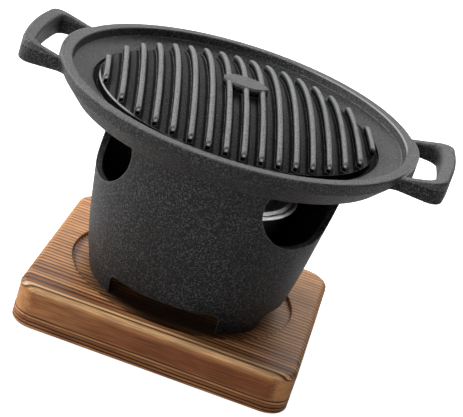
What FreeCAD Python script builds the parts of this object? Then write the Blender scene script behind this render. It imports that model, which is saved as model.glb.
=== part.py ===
import FreeCAD, Part
import math
import os

# Table-top grill: a ribbed grill plate on a round cast stove, with a spirit
# burner inside, standing in the recess of a wooden board.
# Millimetres, Z up.  The origin is on the table under the board's centre.
# X runs through both plate handles, and the user stands on the -Y side.

# Wooden board
board_side_margin = 4.0
board_front_inset = 0.5
board_thickness = 26.0
board_corner_radius = 15.0
board_top_round = 4.0
board_bottom_round = 1.5
recess_gap = 11.0
recess_depth = 3.0

# Cast stove
stove_height = 108.0
stove_wall = 4.0
stove_mouth_radius = 82.0
stove_waist_height = 65.0
stove_waist_inset = 9.4
stove_knee_height = 27.0
stove_knee_inset = 15.5
stove_foot_inset = 22.5
stove_lip_width = 5.0
stove_lip_height = 5.0
stove_turn = -3.5

# Feet and the arches between them
foot_height = 13.5
front_arch_width = 69.0
side_arch_width = 52.0
arch_corner_radius = 3.5
floor_thickness = 4.0

# Draught notches in the stove wall
notch_from_front = 65.0
notch_width = 87.0
notch_depth = 44.0
notch_corner_radius = 36.0

# Seat of the burner on the stove floor
seat_ring_height = 2.0
seat_ring_width = 2.5
burner_seat_clearance = 0.6

# Grill plate
plate_radius = 110.5
plate_height = 18.8
rim_width = 7.0
rim_round = 0.9
inner_wall_drop = 5.0
inner_wall_draft = 1.5
shelf_drop = 4.0
shelf_span = 21.7
trench_width = 3.5
trench_depth = 3.0
plate_wall_height = 8.0
plate_wall_draft = 3.0
plate_base_inset = 13.0
spigot_height = 3.0
spigot_width = 4.0
spigot_clearance = 0.5
dome_wall = 4.5

# Ribbed dome of the plate
dome_rise = 10.6
dome_sphere_radius = 297.6
rib_count = 17
rib_width = 3.1
rib_height = 4.8
rib_end_gap = 1.6
rib_side_gap = 2.2
rib_top_round = 1.15
rib_end_round = 2.6
rib_skew = 11.7

# Bare oval pad at the top of the dome
pad_length = 28.0
pad_width = 19.0
pad_above_ribs = 0.4
pad_round = 0.5

# Loop handles
handle_overhang = 22.1
handle_half_width = 38.4
handle_bow = 0.0024
handle_root_depth = 9.0
handle_tip_depth = 16.0
handle_slope = 0.222
handle_pivot_inset = 2.5
handle_side_bar = 6.2
handle_end_bar = 8.0
handle_corner_radius = 10.0
handle_hole_corner = 5.5
handle_root_fillet = 9.0
handle_edge_round = 1.6
handle_rim_overlap = 5.6
handle_rim_tangent = 3.0
hole_rim_gap = 0.5

# Spirit burner
cup_height = 57.0
cup_radius = 47.0
cup_wall = 0.8
cup_bead_radius = 1.2
cup_flange_radius = 52.0
collar_fit = 0.05
collar_sheet = 0.8
collar_bead_inner = 44.4
collar_bead_outer = 48.8
collar_bead_height = 2.2
collar_step_radius = 40.2
collar_step_drop = 4.2
collar_skirt = 9.0
wadding_side_gap = 0.3
wadding_top_gap = 0.3
gauze_radius = 38.0
gauze_thickness = 0.6

# Flame regulator on top of the collar
window_count = 4
window_inner_radius = 11.0
window_outer_radius = 32.0
window_angle = 42.0
regulator_radius = 37.0
regulator_sheet = 0.8
regulator_gap = 0.5
washer_radius = 6.0
rivet_radius = 2.0
rivet_fit = 0.05
rivet_head_radius = 4.5
rivet_head_height = 1.4
tab_width = 9.0
tab_height = 5.0
tab_radius_place = 34.0

# Sizes and heights that follow from the ones above
stove_foot_radius = stove_mouth_radius - stove_foot_inset
stove_knee_radius = stove_mouth_radius - stove_knee_inset
stove_waist_radius = stove_mouth_radius - stove_waist_inset
board_length = 2 * (stove_mouth_radius + board_side_margin)
board_width = 2 * (stove_mouth_radius - board_front_inset)
recess_radius = stove_foot_radius + recess_gap
recess_floor = board_thickness - recess_depth
handle_reach = plate_radius + handle_overhang
handle_pivot_radius = plate_radius - handle_pivot_inset
plate_base_radius = plate_radius - plate_base_inset
trench_outer_radius = plate_radius - shelf_span
trench_inner_radius = trench_outer_radius - trench_width
rib_field_radius = trench_inner_radius - rib_end_gap
rib_pitch = 2 * (rib_field_radius - rib_side_gap) / (rib_count - 1)
stove_top = recess_floor + stove_height
floor_under = recess_floor + foot_height
floor_top = floor_under + floor_thickness
notch_bottom = stove_top - notch_depth
rim_top = stove_top + plate_height
burner_top = floor_top + cup_height
seat_radius = cup_radius + burner_seat_clearance
stove_lip_inner = stove_mouth_radius - stove_lip_width
spigot_radius = stove_lip_inner - spigot_clearance
dome_centre = rim_top + dome_rise - dome_sphere_radius
floor_sphere_radius = dome_sphere_radius - rib_height
under_sphere_radius = floor_sphere_radius - dome_wall
well_top = burner_top - collar_step_drop
gauze_top = well_top - collar_sheet
regulator_under = well_top + regulator_gap
regulator_top = regulator_under + regulator_sheet

vertical = FreeCAD.Vector(0, 0, 1)
origin = FreeCAD.Vector(0, 0, 0)


def vec(x, y, z=0.0):
    return FreeCAD.Vector(x, y, z)


def save(shape, node):
    # A group is flattened and checked, so each file holds sound solids
    solids = shape.Solids
    if not solids or not shape.isValid():
        raise ValueError("bad shape for " + node)
    if len(solids) == 1:
        shape = solids[0]
    shape.exportStep("parts/" + node + ".step")
    print(node, len(solids), round(shape.Volume, 1))


def line(a, b):
    return Part.LineSegment(a, b).toShape()


def arc(a, b, c):
    return Part.Arc(a, b, c).toShape()


def lathe(points):
    # Turns a closed outline of (radius, height) points about Z
    corners = [vec(radius, 0, height) for radius, height in points]
    face = Part.Face(Part.makePolygon(corners + corners[:1]))
    return face.revolve(origin, vertical, 360)


def tube(outer, inner, height, bottom):
    ring = Part.makeCylinder(outer, height, vec(0, 0, bottom))
    return ring.cut(Part.makeCylinder(inner, height, vec(0, 0, bottom)))


def ball(radius, centre_height):
    return Part.makeSphere(radius, vec(0, 0, centre_height))


def turned(shape, degrees):
    copy = shape.copy()
    copy.rotate(origin, vertical, degrees)
    return copy


def edges_at_height(shape, height, tolerance=0.01):
    picked = []
    for edge in shape.Edges:
        box = edge.BoundBox
        if abs(box.ZMin - height) < tolerance and abs(box.ZMax - height) < tolerance:
            picked.append(edge)
    return picked


def dome_height(sphere_radius, radius):
    return dome_centre + math.sqrt(sphere_radius ** 2 - radius ** 2)


# Board

def rounded_slab(length, width, thickness, corner):
    slab = Part.makeBox(length, width, thickness, vec(-length / 2, -width / 2))
    uprights = [edge for edge in slab.Edges if edge.BoundBox.ZLength > thickness / 2]
    return slab.makeFillet(corner, uprights)


def wooden_board():
    slab = rounded_slab(board_length, board_width, board_thickness, board_corner_radius)
    slab = slab.makeFillet(board_top_round, edges_at_height(slab, board_thickness))
    slab = slab.makeFillet(board_bottom_round, edges_at_height(slab, 0))
    recess = Part.makeCylinder(recess_radius, recess_depth, vec(0, 0, recess_floor))
    return slab.cut(recess)


# Stove

def stove_outline():
    # Outer wall points from the feet up to the mouth
    return [(stove_foot_radius, recess_floor),
            (stove_knee_radius, recess_floor + stove_knee_height),
            (stove_waist_radius, recess_floor + stove_waist_height),
            (stove_mouth_radius, stove_top)]


def stove_curve():
    # One smooth wall curve through the outline points
    through = [vec(radius, 0, height) for radius, height in stove_outline()]
    curve = Part.BSplineCurve()
    curve.interpolate(through)
    return curve


def wall_radius(height):
    # Radius of the outer wall at a height
    curve = stove_curve()
    slice_plane = Part.Plane(vec(0, 0, height), vertical)
    hits = curve.intersect(slice_plane)
    point = hits[0][0] if isinstance(hits, tuple) else hits[0]
    return point.X


def stove_body():
    outer = stove_curve().toShape()
    foot, mouth = stove_outline()[0], stove_outline()[-1]
    axis_top = vec(0, 0, mouth[1])
    axis_foot = vec(0, 0, foot[1])
    rim_line = line(vec(mouth[0], 0, mouth[1]), axis_top)
    foot_line = line(axis_foot, vec(foot[0], 0, foot[1]))
    solid_face = Part.Face(Part.Wire([outer, rim_line, line(axis_top, axis_foot), foot_line]))
    return solid_face.revolve(origin, vertical, 360)


def stove_hollow():
    # The inside follows the outer wall, and a thicker lip carries the plate
    steps = 6
    low = recess_floor
    high = stove_top - stove_lip_height
    heights = [low + (high - low) * step / steps for step in range(steps + 1)]
    inner = [vec(wall_radius(height) - stove_wall, 0, height) for height in heights]
    curve = Part.BSplineCurve()
    curve.interpolate(inner)
    lip_low = vec(stove_lip_inner, 0, stove_top - stove_lip_height / 2)
    lip_high = vec(stove_lip_inner, 0, stove_top)
    axis_top = vec(0, 0, stove_top)
    axis_low = vec(0, 0, low)
    edges = [curve.toShape(), line(inner[-1], lip_low), line(lip_low, lip_high),
             line(lip_high, axis_top), line(axis_top, axis_low), line(axis_low, inner[0])]
    return Part.Face(Part.Wire(edges)).revolve(origin, vertical, 360)


def stove_floor():
    radius = wall_radius(floor_under) - stove_wall / 2
    plate = Part.makeCylinder(radius, floor_thickness, vec(0, 0, floor_under))
    ring = tube(seat_radius + seat_ring_width, seat_radius, seat_ring_height, floor_top)
    return plate.fuse(ring)


def u_profile(half_width, bottom, top, corner):
    # Upright U in the XZ plane, open side up
    left, right = -half_width, half_width
    bend = corner * (1 - math.sqrt(0.5))
    edges = [line(vec(left, 0, top), vec(left, 0, bottom + corner)),
             arc(vec(left, 0, bottom + corner), vec(left + bend, 0, bottom + bend),
                 vec(left + corner, 0, bottom)),
             line(vec(left + corner, 0, bottom), vec(right - corner, 0, bottom)),
             arc(vec(right - corner, 0, bottom), vec(right - bend, 0, bottom + bend),
                 vec(right, 0, bottom + corner)),
             line(vec(right, 0, bottom + corner), vec(right, 0, top)),
             line(vec(right, 0, top), vec(left, 0, top))]
    return Part.Face(Part.Wire(edges))


def wall_cutter(face, degrees):
    # Pushes a profile out through the wall on the side that lies at this angle
    near = stove_foot_radius / 3
    face = face.copy()
    face.translate(vec(0, near, 0))
    block = face.extrude(vec(0, plate_radius, 0))
    return turned(block, degrees - 90)


def draught_notch(degrees):
    face = u_profile(notch_width / 2, notch_bottom, stove_top + 1, notch_corner_radius)
    return wall_cutter(face, degrees)


def foot_arch(width, degrees):
    # The same U upside down, open at the feet
    face = u_profile(width / 2, -floor_under, 1 - recess_floor, arch_corner_radius)
    face = face.mirror(origin, vertical)
    return wall_cutter(face, degrees)


def stove():
    body = stove_body().cut(stove_hollow()).fuse(stove_floor())
    front = 270
    for side in (-1, 1):
        body = body.cut(draught_notch(front + side * notch_from_front))
    for degrees in (90, 270):
        body = body.cut(foot_arch(front_arch_width, degrees))
    for degrees in (0, 180):
        body = body.cut(foot_arch(side_arch_width, degrees))
    return turned(body.removeSplitter(), stove_turn)


# Grill plate

def plate_casting():
    rim_inner = plate_radius - rim_width
    shelf_outer = rim_inner - inner_wall_draft
    shelf_top = rim_top - inner_wall_drop
    shelf_low = shelf_top - shelf_drop
    trench_floor = shelf_low - trench_depth
    spigot_inner = spigot_radius - spigot_width
    base = rim_top - plate_height
    wall_foot = plate_radius - plate_wall_draft
    outline = [(0, rim_top + dome_rise),
               (trench_inner_radius, rim_top + dome_rise),
               (trench_inner_radius, trench_floor),
               (trench_outer_radius, trench_floor),
               (trench_outer_radius, shelf_low),
               (shelf_outer, shelf_top),
               (rim_inner, rim_top),
               (plate_radius, rim_top),
               (wall_foot, rim_top - plate_wall_height),
               (plate_base_radius, base),
               (spigot_radius, base),
               (spigot_radius, base - spigot_height),
               (0, base - spigot_height)]
    casting = lathe(outline)
    rim_edges = edges_at_height(casting, rim_top)
    casting = casting.makeFillet(rim_round, rim_edges)
    above_dome = Part.makeCylinder(trench_inner_radius, dome_rise * 3,
                                   vec(0, 0, trench_floor)).cut(ball(floor_sphere_radius, dome_centre))
    under_dome = Part.makeCylinder(spigot_inner, plate_height * 2,
                                   vec(0, 0, base - spigot_height))
    under_dome = under_dome.common(ball(under_sphere_radius, dome_centre))
    return casting.cut(above_dome).cut(under_dome)


def rib_section(offset):
    # Upright section of a rib with its two upper corners rounded
    top = dome_centre + math.sqrt(dome_sphere_radius ** 2 - offset ** 2)
    root_radius = under_sphere_radius + dome_wall / 2
    root = dome_centre + math.sqrt(root_radius ** 2 - offset ** 2)
    left, right = offset - rib_width / 2, offset + rib_width / 2
    turn = rib_top_round
    bend = turn * (1 - math.sqrt(0.5))
    edges = [line(vec(left, 0, root), vec(left, 0, top - turn)),
             arc(vec(left, 0, top - turn), vec(left + bend, 0, top - bend), vec(left + turn, 0, top)),
             line(vec(left + turn, 0, top), vec(right - turn, 0, top)),
             arc(vec(right - turn, 0, top), vec(right - bend, 0, top - bend), vec(right, 0, top - turn)),
             line(vec(right, 0, top - turn), vec(right, 0, root)),
             line(vec(right, 0, root), vec(left, 0, root))]
    return Part.Face(Part.Wire(edges))


def rib_side(offset, half_run):
    # Side view of a rib, with upright ends and rounded end corners
    turn = rib_end_round
    crest = math.sqrt(dome_sphere_radius ** 2 - offset ** 2)
    knee_y = half_run - turn
    knee_z = dome_centre + math.sqrt(crest ** 2 - knee_y ** 2)
    bend = turn * (1 - math.sqrt(0.5))
    low = dome_height(under_sphere_radius, rib_field_radius) - dome_wall
    high = dome_centre + crest
    edges = [arc(vec(0, -half_run, knee_z - turn), vec(0, bend - half_run, knee_z - bend),
                 vec(0, -knee_y, knee_z)),
             arc(vec(0, -knee_y, knee_z), vec(0, 0, high), vec(0, knee_y, knee_z)),
             arc(vec(0, knee_y, knee_z), vec(0, half_run - bend, knee_z - bend),
                 vec(0, half_run, knee_z - turn)),
             line(vec(0, half_run, knee_z - turn), vec(0, half_run, low)),
             line(vec(0, half_run, low), vec(0, -half_run, low)),
             line(vec(0, -half_run, low), vec(0, -half_run, knee_z - turn))]
    return Part.Face(Part.Wire(edges))


def rib(offset):
    # Straight rib whose crest is an arc about a level axis through the dome's centre
    half_run = math.sqrt(rib_field_radius ** 2 - offset ** 2)
    centre = vec(0, 0, dome_centre)
    sweep = 2 * math.degrees(math.asin(half_run / under_sphere_radius)) + 2
    section = rib_section(offset)
    section.rotate(centre, vec(1, 0, 0), -sweep / 2)
    bar = section.revolve(centre, vec(1, 0, 0), sweep)
    side = rib_side(offset, half_run)
    side.translate(vec(offset - rib_width, 0, 0))
    return bar.common(side.extrude(vec(2 * rib_width, 0, 0)))


def ribs():
    middle = (rib_count - 1) / 2
    return [turned(rib((number - middle) * rib_pitch), rib_skew) for number in range(rib_count)]


def oval_pad():
    # Lens outline from two arcs, standing on the dome floor
    half_length = pad_length / 2
    half_width = pad_width / 2
    ends = (vec(-half_length, 0), vec(half_length, 0))
    wire = Part.Wire([arc(ends[0], vec(0, half_width), ends[1]),
                      arc(ends[1], vec(0, -half_width), ends[0])])
    foot = rim_top + dome_rise - rib_height - dome_wall / 2
    height = rim_top + dome_rise + pad_above_ribs - foot
    pad = Part.Face(wire).extrude(vec(0, 0, height))
    pad.translate(vec(0, 0, foot))
    return pad.makeFillet(pad_round, edges_at_height(pad, foot + height))


def handle_end_x(y, reach):
    return reach - handle_bow * y * y


def loop_outline():
    # Plan of one handle, blended into the rim with a hollow fillet on each side
    grip = handle_half_width
    root = handle_root_fillet
    inside = plate_radius - handle_rim_tangent
    centre_x = math.sqrt((inside + root) ** 2 - (grip + root) ** 2)
    centre_y = grip + root
    share = inside / (inside + root)
    rim_x, rim_y = centre_x * share, centre_y * share
    towards_rim = math.atan2(rim_y - centre_y, rim_x - centre_x)
    halfway = middle_angle(towards_rim, -math.pi / 2)
    bend = vec(centre_x + root * math.cos(halfway), centre_y + root * math.sin(halfway))
    corner = handle_corner_radius
    tip_y = grip - corner
    tip_x = handle_end_x(tip_y, handle_reach)
    corner_x = tip_x - corner
    slant = corner * math.sqrt(0.5)
    edges = []
    for side in (1, -1):
        edges.append(arc(vec(rim_x, side * rim_y), vec(bend.x, side * bend.y),
                         vec(centre_x, side * grip)))
        edges.append(line(vec(centre_x, side * grip), vec(corner_x, side * grip)))
        edges.append(arc(vec(corner_x, side * grip),
                         vec(corner_x + slant, side * (tip_y + slant)),
                         vec(tip_x, side * tip_y)))
    edges.append(arc(vec(tip_x, tip_y), vec(handle_reach, 0), vec(tip_x, -tip_y)))
    back_x = rim_x - handle_rim_overlap
    edges.append(line(vec(rim_x, rim_y), vec(back_x, rim_y)))
    edges.append(line(vec(back_x, rim_y), vec(back_x, -rim_y)))
    edges.append(line(vec(back_x, -rim_y), vec(rim_x, -rim_y)))
    return Part.Face(Part.Wire(Part.sortEdges(edges)[0]))


def middle_angle(first, second):
    # Direction halfway between two directions, the short way round
    spread = (second - first + math.pi) % (2 * math.pi) - math.pi
    return first + spread / 2


def loop_hole():
    # Finger opening between the rim and the grip bar
    half = handle_half_width - handle_side_bar
    corner = handle_hole_corner
    edge_y = half - corner
    outer_x = handle_end_x(edge_y, handle_reach - handle_end_bar)
    slant = corner * math.sqrt(0.5)
    rim = plate_radius + hole_rim_gap
    rim_x = math.sqrt(rim ** 2 - half ** 2)
    edges = []
    for side in (1, -1):
        edges.append(line(vec(rim_x, side * half), vec(outer_x - corner, side * half)))
        edges.append(arc(vec(outer_x - corner, side * half),
                         vec(outer_x - corner + slant, side * (edge_y + slant)),
                         vec(outer_x, side * edge_y)))
    edges.append(arc(vec(outer_x, edge_y), vec(handle_reach - handle_end_bar, 0),
                     vec(outer_x, -edge_y)))
    edges.append(arc(vec(rim_x, half), vec(rim, 0), vec(rim_x, -half)))
    return Part.Face(Part.Wire(Part.sortEdges(edges)[0]))


def handle_top(x):
    return rim_top + handle_slope * (x - handle_pivot_radius)


def handle_bottom(x):
    # The loop gets deeper from the rim to the grip bar
    share = (x - handle_pivot_radius) / (handle_reach - handle_pivot_radius)
    depth = handle_root_depth + share * (handle_tip_depth - handle_root_depth)
    return handle_top(x) - depth


def handle_slab():
    # Wedge whose two faces are the top and the underside of the loop
    near = handle_pivot_radius - 2 * handle_root_fillet
    far = handle_reach + handle_end_bar
    width = handle_half_width + 2 * handle_root_fillet
    corners = [vec(near, -width, handle_top(near)), vec(far, -width, handle_top(far)),
               vec(far, -width, handle_bottom(far)), vec(near, -width, handle_bottom(near))]
    wire = Part.makePolygon(corners + corners[:1])
    return Part.Face(wire).extrude(vec(0, 2 * width, 0))


def loop_handle():
    reach_up = plate_height * 4
    bottom = vec(0, 0, rim_top - reach_up / 2)
    outline = loop_outline().extrude(vec(0, 0, reach_up))
    outline.translate(bottom)
    hole = loop_hole().extrude(vec(0, 0, reach_up))
    hole.translate(bottom)
    loop = outline.common(handle_slab()).cut(hole)
    return soften(loop)


def soften(loop):
    # Rounds the long top and bottom edges of the sloping faces
    picked = []
    for face in loop.Faces:
        if abs(face.normalAt(0, 0).z) > 0.9:
            for edge in face.Edges:
                if edge.BoundBox.XMax > plate_radius + 1 and edge.Length > 1:
                    picked.append(edge)
    return loop.makeFillet(handle_edge_round, picked)


def grill_plate():
    plate = plate_casting()
    right = loop_handle()
    left = turned(right, 180)
    cooking_face = Part.makeCylinder(plate_radius - handle_rim_overlap, plate_height * 4,
                                     vec(0, 0, rim_top - plate_height * 2))
    handles = [loop.cut(cooking_face) for loop in (right, left)]
    return plate.multiFuse(handles + ribs() + [oval_pad()]).removeSplitter()


# Spirit burner

def burner_cup():
    # Deep dish with a flat flange and a rolled bead on its edge
    flange_low = burner_top - 2 * cup_bead_radius
    bead_centre = cup_flange_radius - cup_bead_radius
    body = Part.makeCylinder(cup_radius, cup_height - 2 * cup_bead_radius, vec(0, 0, floor_top))
    flange = Part.makeCylinder(bead_centre, cup_wall, vec(0, 0, flange_low))
    body = body.fuse(flange)
    inside = Part.makeCylinder(cup_radius - cup_wall, cup_height, vec(0, 0, floor_top + cup_wall))
    bead = Part.makeTorus(bead_centre, cup_bead_radius,
                          vec(0, 0, flange_low + cup_bead_radius), vertical)
    return body.cut(inside).fuse(bead).removeSplitter()


def window(sheet_low, sheet, angle_start):
    # One ring-shaped opening through a sheet
    height = sheet * 3
    bottom = vec(0, 0, sheet_low - sheet)
    outer = Part.makeCylinder(window_outer_radius, height, bottom, vertical, window_angle)
    inner = Part.makeCylinder(window_inner_radius, height, bottom)
    return turned(outer.cut(inner), angle_start)


def windows(sheet_low, sheet):
    step = 360 / window_count
    return [window(sheet_low, sheet, number * step) for number in range(window_count)]


def collar_outline():
    # Pressed sheet: bead on the cup flange, sloping step, flat well plate
    flange_top = burner_top - 2 * cup_bead_radius + cup_wall
    crown = flange_top + collar_bead_height
    skirt_radius = cup_radius - cup_wall - collar_fit
    skirt_low = well_top - collar_skirt
    bead_middle = (collar_bead_inner + collar_bead_outer) / 2
    sheet = collar_sheet
    return [(collar_bead_outer, flange_top),
            (collar_bead_outer, flange_top + collar_bead_height / 2),
            (bead_middle, crown),
            (collar_bead_inner, crown - collar_bead_height / 3),
            (collar_bead_inner - 1, well_top + collar_step_drop / 2),
            (collar_step_radius, well_top),
            (rivet_radius, well_top),
            (rivet_radius, well_top - sheet),
            (collar_step_radius + sheet, well_top - sheet),
            (skirt_radius - sheet, well_top - sheet),
            (skirt_radius - sheet, skirt_low),
            (skirt_radius, skirt_low),
            (skirt_radius, flange_top)]


def burner_collar():
    collar = lathe(collar_outline())
    for opening in windows(well_top - collar_sheet, collar_sheet):
        collar = collar.cut(opening)
    return collar


def flame_gauze():
    # Fine wire disc clamped under the windows of the collar
    disc = Part.makeCylinder(gauze_radius, gauze_thickness, vec(0, 0, gauze_top - gauze_thickness))
    hole = Part.makeCylinder(rivet_head_radius + 0.5, gauze_thickness * 3,
                             vec(0, 0, gauze_top - 2 * gauze_thickness))
    return disc.cut(hole)


def fuel_wadding():
    radius = cup_radius - cup_wall - wadding_side_gap
    low = floor_top + cup_wall
    top = gauze_top - rivet_head_height - wadding_top_gap
    body = Part.makeCylinder(radius, top - low, vec(0, 0, low))
    skirt_inner = cup_radius - cup_wall - collar_fit - collar_sheet - wadding_side_gap
    skirt_low = well_top - collar_skirt - wadding_side_gap
    step = tube(radius * 2, skirt_inner, top - skirt_low + 1, skirt_low)
    return body.cut(step)


def flame_regulator():
    disc = Part.makeCylinder(regulator_radius, regulator_sheet, vec(0, 0, regulator_under))
    for opening in windows(regulator_under, regulator_sheet):
        disc = disc.cut(opening)
    disc = disc.cut(Part.makeCylinder(rivet_radius + rivet_fit, regulator_sheet * 3,
                                      vec(0, 0, regulator_under - regulator_sheet)))
    tab = Part.makeBox(regulator_sheet, tab_width, tab_height + regulator_sheet,
                       vec(tab_radius_place, -tab_width / 2, regulator_under))
    rib_middle = (window_angle + 360 / window_count) / 2
    return disc.fuse(turned(tab, rib_middle + 360 / window_count))


def regulator_washer():
    washer = Part.makeCylinder(washer_radius, regulator_gap, vec(0, 0, well_top))
    return washer.cut(Part.makeCylinder(rivet_radius, regulator_gap, vec(0, 0, well_top)))


def regulator_rivet():
    # Shank through collar, washer and regulator, with a head above and below
    low = well_top - collar_sheet
    high = regulator_top + rivet_fit
    shank = Part.makeCylinder(rivet_radius, high - low, vec(0, 0, low))
    under = Part.makeCylinder(rivet_head_radius, rivet_head_height, vec(0, 0, low - rivet_head_height))
    above = Part.makeCylinder(rivet_head_radius, rivet_head_height, vec(0, 0, high))
    return shank.fuse(under).fuse(above).removeSplitter()


os.makedirs("parts", exist_ok=True)
save(wooden_board(), "wooden_board")
save(stove(), "stove_shell")
save(grill_plate(), "grill_plate")
save(burner_cup(), "burner_cup")
save(burner_collar(), "burner_collar")
save(flame_gauze(), "flame_gauze")
save(fuel_wadding(), "fuel_wadding")
save(flame_regulator(), "flame_regulator")
save(regulator_washer(), "regulator_washer")
save(regulator_rivet(), "regulator_rivet")
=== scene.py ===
import math

import bpy
import numpy as np
from mathutils import Matrix, Vector


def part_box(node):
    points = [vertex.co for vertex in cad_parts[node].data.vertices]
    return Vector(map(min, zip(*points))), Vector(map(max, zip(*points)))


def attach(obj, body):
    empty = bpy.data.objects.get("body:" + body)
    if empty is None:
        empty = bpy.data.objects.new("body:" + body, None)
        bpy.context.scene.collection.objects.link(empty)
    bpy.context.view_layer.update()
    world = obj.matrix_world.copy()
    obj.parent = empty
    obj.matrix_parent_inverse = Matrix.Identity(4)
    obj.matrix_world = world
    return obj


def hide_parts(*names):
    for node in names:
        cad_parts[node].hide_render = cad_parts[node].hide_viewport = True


bl_info = {
    "name": "Table-top grill",
    "version": (1, 0, 0),
    "blender": (4, 5, 0),
    "location": "3D View > Sidebar > Grill",
    "description": "Dresses the packed table-top grill with its board, castings and burner",
    "category": "Object",
}

PHOTO_WIDTH = 463
SENSOR_WIDTH = 36.0

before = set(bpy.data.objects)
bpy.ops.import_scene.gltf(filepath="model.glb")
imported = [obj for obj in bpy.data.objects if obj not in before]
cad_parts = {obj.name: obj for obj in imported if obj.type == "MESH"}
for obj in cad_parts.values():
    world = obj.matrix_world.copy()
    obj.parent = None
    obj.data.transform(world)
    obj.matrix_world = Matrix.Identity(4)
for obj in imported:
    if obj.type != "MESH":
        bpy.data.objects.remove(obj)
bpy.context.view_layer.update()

# Sizes in metres, as they are in the solids
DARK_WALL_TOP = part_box("burner_cup")[1].z - 0.0015
CUP_WALL_RADIUS = 0.0465
GAUZE_HOLE_RADIUS = 0.0056
RIM_TOP = 0.1498
RIM_LINE_RADIUS = 0.1034
TRENCH_RADIUS = 0.0888
DOME_CENTRE = -0.1372
DOME_RADIUS = 0.0853
DOME_LIP_HEIGHT = 0.1421
CREST_RADIUS = 0.2976
RIB_FIELD_RADIUS = 0.0842
RIB_PITCH = 0.0101875
RIB_SKEW = math.radians(11.7)

# Growth rings of the board: metres, and rings per metre
RING_START = 0.0776
RING_MARGIN = 0.0030
RING_DRIFT = 0.006
RING_SLANT = 0.012
RINGS_ACROSS = 236.0
RINGS_DOWN = 500.0
RING_OFFSET = 0.78
FACE_LINE_TOP = 0.0104


# Node helpers

class Wiring:
    """Adds nodes to a tree, sets their values and joins their sockets."""

    def __init__(self, tree):
        self.tree = tree

    def node(self, kind, inputs=None, **settings):
        """Adds a node, sets it up and feeds its inputs by name or number."""
        made = self.tree.nodes.new(kind)
        for name, value in settings.items():
            setattr(made, name, value)
        for key, value in (inputs or {}).items():
            self.feed(made.inputs[key], value)
        return made

    def feed(self, socket, value):
        """Joins a socket to a socket, or writes a plain value on it."""
        if isinstance(value, bpy.types.NodeSocket):
            self.tree.links.new(value, socket)
        else:
            socket.default_value = value

    def math(self, operation, first, second=0.0, third=0.0):
        values = dict(enumerate((first, second, third)))
        return self.node("ShaderNodeMath", values, operation=operation).outputs[0]

    def times(self, first, *others):
        for other in others:
            first = self.math("MULTIPLY", first, other)
        return first

    def squares(self, x, y):
        return self.math("ADD", self.times(x, x), self.times(y, y))

    def length(self, x, y):
        return self.math("SQRT", self.squares(x, y))

    def vector_math(self, operation, first, second):
        other = "Scale" if operation == "SCALE" else 1
        made = self.node("ShaderNodeVectorMath", {0: first, other: second}, operation=operation)
        return made.outputs["Value" if operation == "DOT_PRODUCT" else "Vector"]

    def stretched(self, vector, x, y, z):
        return self.vector_math("MULTIPLY", vector, (x, y, z))

    def split(self, vector):
        return tuple(self.node("ShaderNodeSeparateXYZ", {0: vector}).outputs)

    def join(self, x, y, z):
        return self.node("ShaderNodeCombineXYZ", {0: x, 1: y, 2: z}).outputs[0]

    def noise(self, vector, scale, detail=2.0, roughness=0.5):
        return self.node("ShaderNodeTexNoise", {
            "Vector": vector, "Scale": scale, "Detail": detail, "Roughness": roughness}).outputs[0]

    def cells(self, vector, scale):
        made = self.node("ShaderNodeTexVoronoi", {"Vector": vector, "Scale": scale})
        return made.outputs["Distance"]

    def step(self, value, low, high, out_low=0.0, out_high=1.0):
        """A smooth step from low to high."""
        return self.node("ShaderNodeMapRange", {
            "Value": value, "From Min": low, "From Max": high,
            "To Min": out_low, "To Max": out_high}, interpolation_type="SMOOTHSTEP").outputs[0]

    def fade(self, value, low, high, least=0.0):
        """A smooth step down from 1."""
        return self.step(value, low, high, 1.0, least)

    def band(self, value, corners, start=0.0):
        """A smooth step up and down again, at four corners counted from a start."""
        low, full, fading, high = (start + corner for corner in corners)
        return self.times(self.step(value, low, full), self.fade(value, fading, high))

    def mix(self, factor, first, second, blend="MIX"):
        return self.node("ShaderNodeMix", {"Factor": factor, 6: first, 7: second},
                         data_type="RGBA", blend_type=blend).outputs[2]


def new_group(name, inputs, outputs, kind="ShaderNodeTree"):
    """An empty node group with named sockets."""
    tree = bpy.data.node_groups.new(name, kind)
    rows = [("INPUT", *row) for row in inputs] + [("OUTPUT", *row, None) for row in outputs]
    for side, socket_name, socket_kind, value in rows:
        socket = tree.interface.new_socket(socket_name, in_out=side, socket_type=socket_kind)
        if value is not None:
            socket.default_value = value
    wiring = Wiring(tree)
    return wiring, wiring.node("NodeGroupInput"), wiring.node("NodeGroupOutput")


def use_group(wiring, name, **inputs):
    """Places a shared group in a material and feeds its inputs."""
    return wiring.node("ShaderNodeGroup", inputs, node_tree=bpy.data.node_groups[name])


def new_material(name, **shader_values):
    """A material with a Principled shader and Object coordinates."""
    material = bpy.data.materials.new(name)
    material.use_nodes = True
    shader = material.node_tree.nodes["Principled BSDF"]
    for socket_name, value in shader_values.items():
        shader.inputs[socket_name.replace("_", " ")].default_value = value
    wiring = Wiring(material.node_tree)
    place = wiring.node("ShaderNodeTexCoord").outputs["Object"]
    return material, wiring, shader, place


def bump(wiring, height, depth, normal=None, strength=1.0):
    inputs = {"Height": height, "Distance": depth, "Strength": strength}
    if normal is not None:
        inputs["Normal"] = normal
    return wiring.node("ShaderNodeBump", inputs).outputs[0]


# Shared shader groups

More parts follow.
